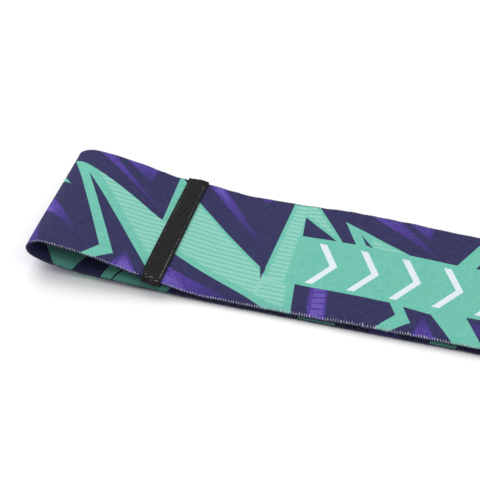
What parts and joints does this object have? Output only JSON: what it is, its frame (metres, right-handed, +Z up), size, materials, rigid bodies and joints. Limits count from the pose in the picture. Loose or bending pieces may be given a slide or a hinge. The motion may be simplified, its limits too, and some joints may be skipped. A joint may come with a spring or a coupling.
{
  "type": "resistance band",
  "caption": "Wide printed fabric hip band, an elastic webbing loop lying flattened, with its ends joined under a stitched black tape beside a softly open fold.",
  "frame": {"origin": "bottom centre of the flattened band's bounding box, on the surface it lies on", "axes": "+X along the band's length, away from the sewn seam; +Y across the band, away from the near edge; +Z up, through the stacked runs of webbing"},
  "size_m": [0.38, 0.082, 0.0185],
  "materials": {
    "printed_face": "smooth printed woven polyester face, navy with mint green and purple shards",
    "inner_face": "smooth printed woven polyester face",
    "edge_binding": "bound edge yarns, pale where the print misses them",
    "latex": "covered natural latex threads",
    "black_tape": "matt black woven tape",
    "sewing_thread": "pale grey polyester sewing thread"
  },
  "bodies": {
    "seam_end": {"butt_joint_stitching": "sewing_thread", "far_edge_binding_left_loop": "edge_binding", "far_edge_binding_upper": "edge_binding", "inner_face_left_loop": "inner_face", "inner_face_upper": "inner_face", "latex_threads_1_left_loop": "latex", "latex_threads_1_upper": "latex", "latex_threads_2_left_loop": "latex", "latex_threads_2_upper": "latex", "latex_threads_3_left_loop": "latex", "latex_threads_3_upper": "latex", "latex_threads_4_left_loop": "latex", "latex_threads_4_upper": "latex", "latex_threads_5_left_loop": "latex", "latex_threads_5_upper": "latex", "latex_threads_6_left_loop": "latex", "latex_threads_6_upper": "latex", "latex_threads_7_left_loop": "latex", "latex_threads_7_upper": "latex", "latex_threads_8_left_loop": "latex", "latex_threads_8_upper": "latex", "left_stitch_row_top": "sewing_thread", "left_stitch_row_under": "sewing_thread", "near_edge_binding_left_loop": "edge_binding", "near_edge_binding_upper": "edge_binding", "near_end_tack": "sewing_thread", "outer_face_left_loop": "printed_face", "outer_face_upper": "printed_face", "right_stitch_row_top": "sewing_thread", "right_stitch_row_under": "sewing_thread", "seam_tape": "black_tape"},
    "far_end": {"far_edge_binding_right_loop": "edge_binding", "inner_face_right_loop": "inner_face", "latex_threads_1_right_loop": "latex", "latex_threads_2_right_loop": "latex", "latex_threads_3_right_loop": "latex", "latex_threads_4_right_loop": "latex", "latex_threads_5_right_loop": "latex", "latex_threads_6_right_loop": "latex", "latex_threads_7_right_loop": "latex", "latex_threads_8_right_loop": "latex", "near_edge_binding_right_loop": "edge_binding", "outer_face_right_loop": "printed_face"}
  },
  "joints": [
    {"name": "stretch", "type": "slide", "parent": "seam_end", "child": "far_end", "axis": [1, 0, 0], "range_m": [0, 0.24], "stiffness_N_per_m": 600}
  ]
}
